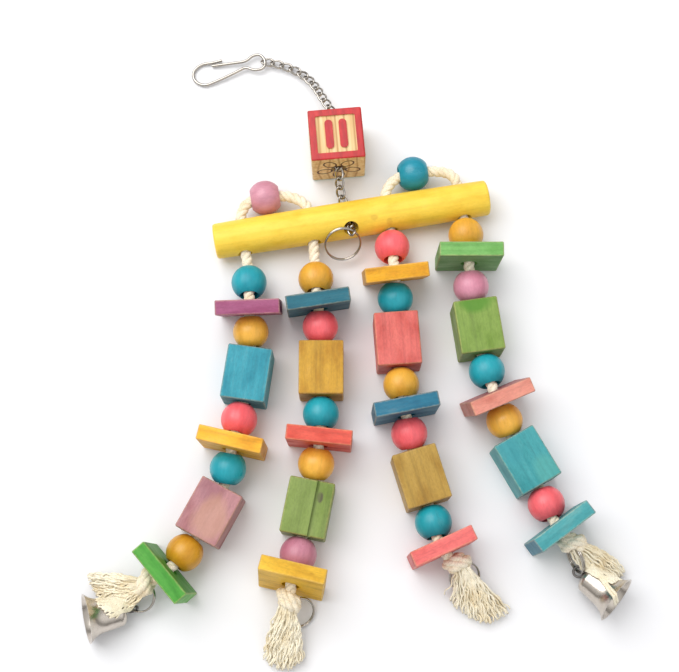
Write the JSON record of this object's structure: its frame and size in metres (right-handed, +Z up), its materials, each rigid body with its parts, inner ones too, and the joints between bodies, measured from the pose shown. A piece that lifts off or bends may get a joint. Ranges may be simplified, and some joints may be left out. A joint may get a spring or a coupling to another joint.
{
  "type": "hanging bird chew toy",
  "caption": "Hanging chew toy for cage birds: dyed wood beads, tiles and blocks on rope strands tied through a perch bar, with a chain and snap hook, split rings and bells.",
  "frame": {"origin": "centre of the laid-out toy on the surface it lies on", "axes": "+X to the right along the perch bar, +Y from the tassels up to the snap hook, +Z up from the surface"},
  "size_m": [0.2874, 0.352, 0.0354],
  "materials": {
    "rope_cotton": "natural twisted cotton",
    "steel_nickel": "bright nickel plate",
    "wood_green": "stained satin wood",
    "wood_magenta": "stained satin wood",
    "wood_mauve": "stained satin wood",
    "wood_mustard": "stained satin wood",
    "wood_natural": "bare satin wood, red painted border",
    "wood_orange": "stained satin wood",
    "wood_pink": "stained satin wood",
    "wood_red": "stained satin wood",
    "wood_teal": "stained satin wood",
    "wood_yellow": "stained satin wood"
  },
  "bodies": {
    "toy": {"perch_bar": "wood_yellow", "rope_left": "rope_cotton", "rope_right": "rope_cotton", "chain_upper": "steel_nickel", "chain_lower": "steel_nickel"},
    "strand_1_bead_1": {"strand_1_bead_1": "wood_teal"},
    "strand_1_tile_1": {"strand_1_tile_1": "wood_magenta"},
    "strand_1_bead_2": {"strand_1_bead_2": "wood_orange"},
    "strand_1_block_1": {"strand_1_block_1": "wood_teal"},
    "strand_1_bead_3": {"strand_1_bead_3": "wood_red"},
    "strand_1_tile_2": {"strand_1_tile_2": "wood_yellow"},
    "strand_1_bead_4": {"strand_1_bead_4": "wood_teal"},
    "strand_1_block_2": {"strand_1_block_2": "wood_mauve"},
    "strand_1_bead_5": {"strand_1_bead_5": "wood_orange"},
    "strand_1_tile_3": {"strand_1_tile_3": "wood_green"},
    "strand_2_bead_1": {"strand_2_bead_1": "wood_orange"},
    "strand_2_tile_1": {"strand_2_tile_1": "wood_teal"},
    "strand_2_bead_2": {"strand_2_bead_2": "wood_red"},
    "strand_2_block_1": {"strand_2_block_1": "wood_mustard"},
    "strand_2_bead_3": {"strand_2_bead_3": "wood_teal"},
    "strand_2_tile_2": {"strand_2_tile_2": "wood_red"},
    "strand_2_bead_4": {"strand_2_bead_4": "wood_orange"},
    "strand_2_block_2": {"strand_2_block_2": "wood_green"},
    "strand_2_bead_5": {"strand_2_bead_5": "wood_pink"},
    "strand_2_tile_3": {"strand_2_tile_3": "wood_yellow"},
    "strand_3_bead_1": {"strand_3_bead_1": "wood_red"},
    "strand_3_tile_1": {"strand_3_tile_1": "wood_yellow"},
    "strand_3_bead_2": {"strand_3_bead_2": "wood_teal"},
    "strand_3_block_1": {"strand_3_block_1": "wood_red"},
    "strand_3_bead_3": {"strand_3_bead_3": "wood_orange"},
    "strand_3_tile_2": {"strand_3_tile_2": "wood_teal"},
    "strand_3_bead_4": {"strand_3_bead_4": "wood_red"},
    "strand_3_block_2": {"strand_3_block_2": "wood_mustard"},
    "strand_3_bead_5": {"strand_3_bead_5": "wood_teal"},
    "strand_3_tile_3": {"strand_3_tile_3": "wood_red"},
    "strand_4_bead_1": {"strand_4_bead_1": "wood_orange"},
    "strand_4_tile_1": {"strand_4_tile_1": "wood_green"},
    "strand_4_bead_2": {"strand_4_bead_2": "wood_pink"},
    "strand_4_block_1": {"strand_4_block_1": "wood_green"},
    "strand_4_bead_3": {"strand_4_bead_3": "wood_teal"},
    "strand_4_tile_2": {"strand_4_tile_2": "wood_pink"},
    "strand_4_bead_4": {"strand_4_bead_4": "wood_orange"},
    "strand_4_block_2": {"strand_4_block_2": "wood_teal"},
    "strand_4_bead_5": {"strand_4_bead_5": "wood_red"},
    "strand_4_tile_3": {"strand_4_tile_3": "wood_teal"},
    "loop_bead_left": {"loop_bead_left": "wood_pink"},
    "loop_bead_right": {"loop_bead_right": "wood_teal"},
    "letter_block": {"letter_block": "wood_natural"},
    "snap_hook": {"snap_hook": "steel_nickel"},
    "bar_ring": {"bar_ring": "steel_nickel"},
    "end_ring_1": {"end_ring_1": "steel_nickel"},
    "end_ring_2": {"end_ring_2": "steel_nickel"},
    "end_ring_3": {"end_ring_3": "steel_nickel"},
    "end_ring_4": {"end_ring_4": "steel_nickel"},
    "bell_1": {"bell_1": "steel_nickel", "bell_1_eye": "steel_nickel"},
    "bell_1_clapper": {"bell_1_clapper": "steel_nickel"},
    "bell_4": {"bell_4": "steel_nickel", "bell_4_eye": "steel_nickel"},
    "bell_4_clapper": {"bell_4_clapper": "steel_nickel"}
  },
  "joints": [
    {"name": "strand_1_bead_1_spin", "type": "hinge", "parent": "toy", "child": "strand_1_bead_1", "pos_m": [-0.05832, 0.0332, 0.01277], "axis": [0.0568, -0.9761, 0.2099], "continuous": true},
    {"name": "strand_1_tile_1_turn", "type": "hinge", "parent": "toy", "child": "strand_1_tile_1", "pos_m": [-0.0575, 0.01754, 0.01788], "axis": [0.0339, -0.9718, -0.2334], "range_deg": [-3, 3]},
    {"name": "strand_1_bead_2_spin", "type": "hinge", "parent": "toy", "child": "strand_1_bead_2", "pos_m": [-0.05677, 0.00489, 0.01402], "axis": [0.067, -0.9883, -0.1367], "continuous": true},
    {"name": "strand_1_block_1_spin", "type": "hinge", "parent": "toy", "child": "strand_1_block_1", "pos_m": [-0.05815, -0.01953, 0.01167], "axis": [-0.1392, -0.9903, 0], "continuous": true},
    {"name": "strand_1_bead_3_spin", "type": "hinge", "parent": "toy", "child": "strand_1_bead_3", "pos_m": [-0.06214, -0.04333, 0.0141], "axis": [-0.2043, -0.9684, 0.1428], "continuous": true},
    {"name": "strand_1_tile_2_spin", "type": "hinge", "parent": "toy", "child": "strand_1_tile_2", "pos_m": [-0.065, -0.05652, 0.01749], "axis": [-0.2249, -0.9742, -0.0175], "continuous": true},
    {"name": "strand_1_bead_4_spin", "type": "hinge", "parent": "toy", "child": "strand_1_bead_4", "pos_m": [-0.06746, -0.06957, 0.01413], "axis": [-0.1658, -0.9769, -0.135], "continuous": true},
    {"name": "strand_1_block_2_spin", "type": "hinge", "parent": "toy", "child": "strand_1_block_2", "pos_m": [-0.0761, -0.09282, 0.01167], "axis": [-0.4695, -0.8829, 0], "continuous": true},
    {"name": "strand_1_bead_5_spin", "type": "hinge", "parent": "toy", "child": "strand_1_bead_5", "pos_m": [-0.08909, -0.11349, 0.01419], "axis": [-0.6141, -0.7765, 0.1411], "continuous": true},
    {"name": "strand_1_tile_3_spin", "type": "hinge", "parent": "toy", "child": "strand_1_tile_3", "pos_m": [-0.09838, -0.12405, 0.0176], "axis": [-0.7537, -0.6552, -0.0523], "continuous": true},
    {"name": "strand_2_bead_1_spin", "type": "hinge", "parent": "toy", "child": "strand_2_bead_1", "pos_m": [-0.02151, 0.03531, 0.01277], "axis": [0.0604, -0.9753, 0.2123], "continuous": true},
    {"name": "strand_2_tile_1_turn", "type": "hinge", "parent": "toy", "child": "strand_2_tile_1", "pos_m": [-0.02022, 0.02054, 0.01781], "axis": [0.1549, -0.9781, -0.1392], "range_deg": [-3, 3]},
    {"name": "strand_2_bead_2_spin", "type": "hinge", "parent": "toy", "child": "strand_2_bead_2", "pos_m": [-0.01897, 0.00783, 0.01409], "axis": [0.071, -0.9869, -0.1449], "continuous": true},
    {"name": "strand_2_block_1_spin", "type": "hinge", "parent": "toy", "child": "strand_2_block_1", "pos_m": [-0.01829, -0.0163, 0.01167], "axis": [0, -1, 0], "continuous": true},
    {"name": "strand_2_bead_3_spin", "type": "hinge", "parent": "toy", "child": "strand_2_bead_3", "pos_m": [-0.01841, -0.04037, 0.01413], "axis": [-0.0125, -0.9894, 0.1444], "continuous": true},
    {"name": "strand_2_tile_2_spin", "type": "hinge", "parent": "toy", "child": "strand_2_tile_2", "pos_m": [-0.01895, -0.05408, 0.01755], "axis": [-0.1045, -0.9939, -0.0349], "continuous": true},
    {"name": "strand_2_bead_4_spin", "type": "hinge", "parent": "toy", "child": "strand_2_bead_4", "pos_m": [-0.02081, -0.06712, 0.01407], "axis": [-0.1559, -0.9773, -0.1434], "continuous": true},
    {"name": "strand_2_block_2_spin", "type": "hinge", "parent": "toy", "child": "strand_2_block_2", "pos_m": [-0.0251, -0.09082, 0.01167], "axis": [-0.1908, -0.9816, 0], "continuous": true},
    {"name": "strand_2_bead_5_spin", "type": "hinge", "parent": "toy", "child": "strand_2_bead_5", "pos_m": [-0.02995, -0.1144, 0.01401], "axis": [-0.2159, -0.9661, 0.1419], "continuous": true},
    {"name": "strand_2_tile_3_spin", "type": "hinge", "parent": "toy", "child": "strand_2_tile_3", "pos_m": [-0.03272, -0.12668, 0.01788], "axis": [-0.2192, -0.9494, 0.225], "continuous": true},
    {"name": "strand_3_bead_1_spin", "type": "hinge", "parent": "toy", "child": "strand_3_bead_1", "pos_m": [0.02065, 0.05379, 0.01257], "axis": [0.0533, -0.9791, 0.1964], "continuous": true},
    {"name": "strand_3_tile_1_spin", "type": "hinge", "parent": "toy", "child": "strand_3_tile_1", "pos_m": [0.02184, 0.03677, 0.01787], "axis": [0.1182, -0.9631, -0.2419], "continuous": true},
    {"name": "strand_3_bead_2_spin", "type": "hinge", "parent": "toy", "child": "strand_3_bead_2", "pos_m": [0.02206, 0.02376, 0.01396], "axis": [-0.0279, -0.9903, -0.1361], "continuous": true},
    {"name": "strand_3_block_1_spin", "type": "hinge", "parent": "toy", "child": "strand_3_block_1", "pos_m": [0.02281, -0.00039, 0.01167], "axis": [0.0698, -0.9976, 0], "continuous": true},
    {"name": "strand_3_bead_3_spin", "type": "hinge", "parent": "toy", "child": "strand_3_bead_3", "pos_m": [0.02474, -0.0244, 0.01413], "axis": [0.0949, -0.985, 0.1443], "continuous": true},
    {"name": "strand_3_tile_2_spin", "type": "hinge", "parent": "toy", "child": "strand_3_tile_2", "pos_m": [0.02644, -0.03802, 0.01755], "axis": [0.1907, -0.981, -0.0349], "continuous": true},
    {"name": "strand_3_bead_4_spin", "type": "hinge", "parent": "toy", "child": "strand_3_bead_4", "pos_m": [0.02867, -0.05096, 0.01409], "axis": [0.1599, -0.9769, -0.1419], "continuous": true},
    {"name": "strand_3_block_2_spin", "type": "hinge", "parent": "toy", "child": "strand_3_block_2", "pos_m": [0.03453, -0.07452, 0.01167], "axis": [0.2924, -0.9563, 0], "continuous": true},
    {"name": "strand_3_bead_5_spin", "type": "hinge", "parent": "toy", "child": "strand_3_bead_5", "pos_m": [0.04074, -0.09787, 0.01401], "axis": [0.1999, -0.9703, 0.1364], "continuous": true},
    {"name": "strand_3_tile_3_spin", "type": "hinge", "parent": "toy", "child": "strand_3_tile_3", "pos_m": [0.04437, -0.11126, 0.01742], "axis": [0.4067, -0.9135, 0], "continuous": true},
    {"name": "strand_4_bead_1_spin", "type": "hinge", "parent": "toy", "child": "strand_4_bead_1", "pos_m": [0.06176, 0.0608, 0.01257], "axis": [0.0713, -0.9736, 0.2167], "continuous": true},
    {"name": "strand_4_tile_1_spin", "type": "hinge", "parent": "toy", "child": "strand_4_tile_1", "pos_m": [0.06249, 0.04674, 0.0176], "axis": [0, -0.9986, -0.0523], "continuous": true},
    {"name": "strand_4_bead_2_spin", "type": "hinge", "parent": "toy", "child": "strand_4_bead_2", "pos_m": [0.06371, 0.03063, 0.01388], "axis": [0.0993, -0.9873, -0.1243], "continuous": true},
    {"name": "strand_4_block_1_spin", "type": "hinge", "parent": "toy", "child": "strand_4_block_1", "pos_m": [0.06669, 0.00678, 0.01167], "axis": [0.1392, -0.9903, 0], "continuous": true},
    {"name": "strand_4_bead_3_spin", "type": "hinge", "parent": "toy", "child": "strand_4_bead_3", "pos_m": [0.071, -0.01705, 0.01434], "axis": [0.2339, -0.9613, 0.1457], "continuous": true},
    {"name": "strand_4_tile_2_spin", "type": "hinge", "parent": "toy", "child": "strand_4_tile_2", "pos_m": [0.07531, -0.03207, 0.01785], "axis": [0.3848, -0.9065, -0.1736], "continuous": true},
    {"name": "strand_4_bead_4_spin", "type": "hinge", "parent": "toy", "child": "strand_4_bead_4", "pos_m": [0.07967, -0.04397, 0.01409], "axis": [0.3199, -0.9368, -0.1414], "continuous": true},
    {"name": "strand_4_block_2_spin", "type": "hinge", "parent": "toy", "child": "strand_4_block_2", "pos_m": [0.09008, -0.06605, 0.01167], "axis": [0.4924, -0.8704, 0], "continuous": true},
    {"name": "strand_4_bead_5_spin", "type": "hinge", "parent": "toy", "child": "strand_4_bead_5", "pos_m": [0.10032, -0.08828, 0.01401], "axis": [0.301, -0.9447, 0.1304], "continuous": true},
    {"name": "strand_4_tile_3_spin", "type": "hinge", "parent": "toy", "child": "strand_4_tile_3", "pos_m": [0.10584, -0.10145, 0.01742], "axis": [0.5878, -0.809, 0], "continuous": true},
    {"name": "loop_bead_left_spin", "type": "hinge", "parent": "toy", "child": "loop_bead_left", "pos_m": [-0.05037, 0.08365, 0.00987], "axis": [0.9858, 0.168, 0], "continuous": true},
    {"name": "loop_bead_right_spin", "type": "hinge", "parent": "toy", "child": "loop_bead_right", "pos_m": [0.0329, 0.09804, 0.00987], "axis": [0.9858, 0.168, 0], "continuous": true},
    {"name": "letter_block_spin", "type": "hinge", "parent": "toy", "child": "letter_block", "pos_m": [-0.01029, 0.11402, 0.01517], "axis": [0.0872, -0.9962, 0], "continuous": true},
    {"name": "snap_hook_swing", "type": "hinge", "parent": "toy", "child": "snap_hook", "pos_m": [-0.05179, 0.17032, 0.00292], "axis": [0, 1, 0], "range_deg": [0, 110]},
    {"name": "bar_ring_swing", "type": "hinge", "parent": "toy", "child": "bar_ring", "pos_m": [-0.0018, 0.06175, 0.01872], "axis": [-0.8574, 0.269, 0.4388], "range_deg": [0, 100]},
    {"name": "end_ring_1_turn", "type": "hinge", "parent": "toy", "child": "end_ring_1", "pos_m": [-0.1125, -0.13542, 0.00757], "axis": [-0.2606, -0.1543, 0.953], "range_deg": [-5, 5]},
    {"name": "end_ring_2_turn", "type": "hinge", "parent": "toy", "child": "end_ring_2", "pos_m": [-0.02959, -0.14384, 0.00552], "axis": [0.323, -0.4135, 0.8513], "continuous": true},
    {"name": "end_ring_3_turn", "type": "hinge", "parent": "toy", "child": "end_ring_3", "pos_m": [0.05731, -0.1255, 0.00542], "axis": [0.2865, -0.4248, 0.8588], "continuous": true},
    {"name": "end_ring_4_turn", "type": "hinge", "parent": "toy", "child": "end_ring_4", "pos_m": [0.11536, -0.116, 0.00907], "axis": [-0.9141, -0.3609, 0.185], "range_deg": [-5, 5]},
    {"name": "bell_1_swing", "type": "hinge", "parent": "end_ring_1", "child": "bell_1", "pos_m": [-0.11663, -0.14203, 0.00537], "axis": [-0.225, 0.9744, 0], "range_deg": [0, 50]},
    {"name": "bell_1_clapper_swing", "type": "hinge", "parent": "bell_1", "child": "bell_1_clapper", "pos_m": [-0.12497, -0.14395, 0.00815], "axis": [-0.225, 0.9744, 0], "range_deg": [-10, 10]},
    {"name": "bell_4_swing", "type": "hinge", "parent": "end_ring_4", "child": "bell_4", "pos_m": [0.11735, -0.12293, 0.00537], "axis": [0, 0, 1], "range_deg": [-20, 5]},
    {"name": "bell_4_clapper_swing", "type": "hinge", "parent": "bell_4", "child": "bell_4_clapper", "pos_m": [0.1239, -0.12843, 0.00815], "axis": [-0.6428, -0.766, 0], "range_deg": [-10, 10]}
  ]
}
